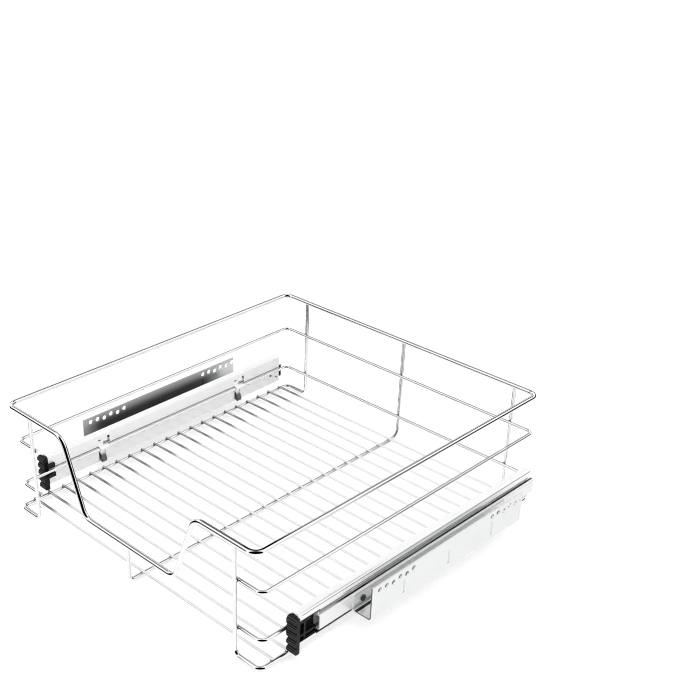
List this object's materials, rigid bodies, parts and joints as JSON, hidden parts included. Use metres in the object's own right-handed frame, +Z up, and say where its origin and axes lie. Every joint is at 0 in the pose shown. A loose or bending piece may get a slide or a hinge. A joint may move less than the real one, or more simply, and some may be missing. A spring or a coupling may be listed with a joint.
{
  "type": "pull out wire basket",
  "caption": "Pull-out chromed wire basket for a kitchen cabinet, with a dipped front, a ball slide on each side and brackets that screw to the cabinet's side panels.",
  "frame": {"origin": "centre of the bounding box at the underside of the base wires", "axes": "+Z up, -Y towards the open front with the hand dip, +X to the right when you stand in front of the basket"},
  "size_m": [0.4642, 0.4458, 0.1412],
  "materials": {
    "chromed_wire": "bright chrome plate",
    "zinc_sheet": "bright zinc plated sheet",
    "bracket_sheet": "zinc plated sheet",
    "rivet_steel": "plain steel",
    "cage_steel": "oiled steel strip",
    "ball_steel": "polished",
    "black_plastic": "moulded, fine texture"
  },
  "bodies": {
    "cabinet_mount": {"mounting_bracket_left": "bracket_sheet", "mounting_bracket_right": "bracket_sheet", "cabinet_rail_left": "zinc_sheet", "cabinet_rail_right": "zinc_sheet", "bracket_rivets_left": "rivet_steel", "bracket_rivets_right": "rivet_steel", "rail_end_stop_left": "black_plastic", "rail_end_stop_right": "black_plastic"},
    "basket": {"rim_wire": "chromed_wire", "upper_ring_wire": "chromed_wire", "lower_ring_wire": "chromed_wire", "side_frame_wire_left": "chromed_wire", "side_frame_wire_right": "chromed_wire", "centre_frame_wire": "chromed_wire", "floor_wires": "chromed_wire", "drawer_profile_left": "zinc_sheet", "drawer_profile_right": "zinc_sheet", "front_buffer_left": "black_plastic", "front_buffer_right": "black_plastic"},
    "ball_cage_left": {"ball_cage_left": "cage_steel", "cage_balls_left": "ball_steel"},
    "ball_cage_right": {"ball_cage_right": "cage_steel", "cage_balls_right": "ball_steel"}
  },
  "joints": [
    {"name": "basket_slide", "type": "slide", "parent": "cabinet_mount", "child": "basket", "axis": [0, -1, 0], "range_m": [0, 0.2]},
    {"name": "ball_cage_left_slide", "type": "slide", "parent": "cabinet_mount", "child": "ball_cage_left", "axis": [0, -1, 0], "range_m": [0, 0.1]},
    {"name": "ball_cage_right_slide", "type": "slide", "parent": "cabinet_mount", "child": "ball_cage_right", "axis": [0, -1, 0], "range_m": [0, 0.1]}
  ],
  "couplings": [
    {"joint": "ball_cage_left_slide", "follows": "basket_slide", "ratio": 0.5},
    {"joint": "ball_cage_right_slide", "follows": "basket_slide", "ratio": 0.5}
  ]
}
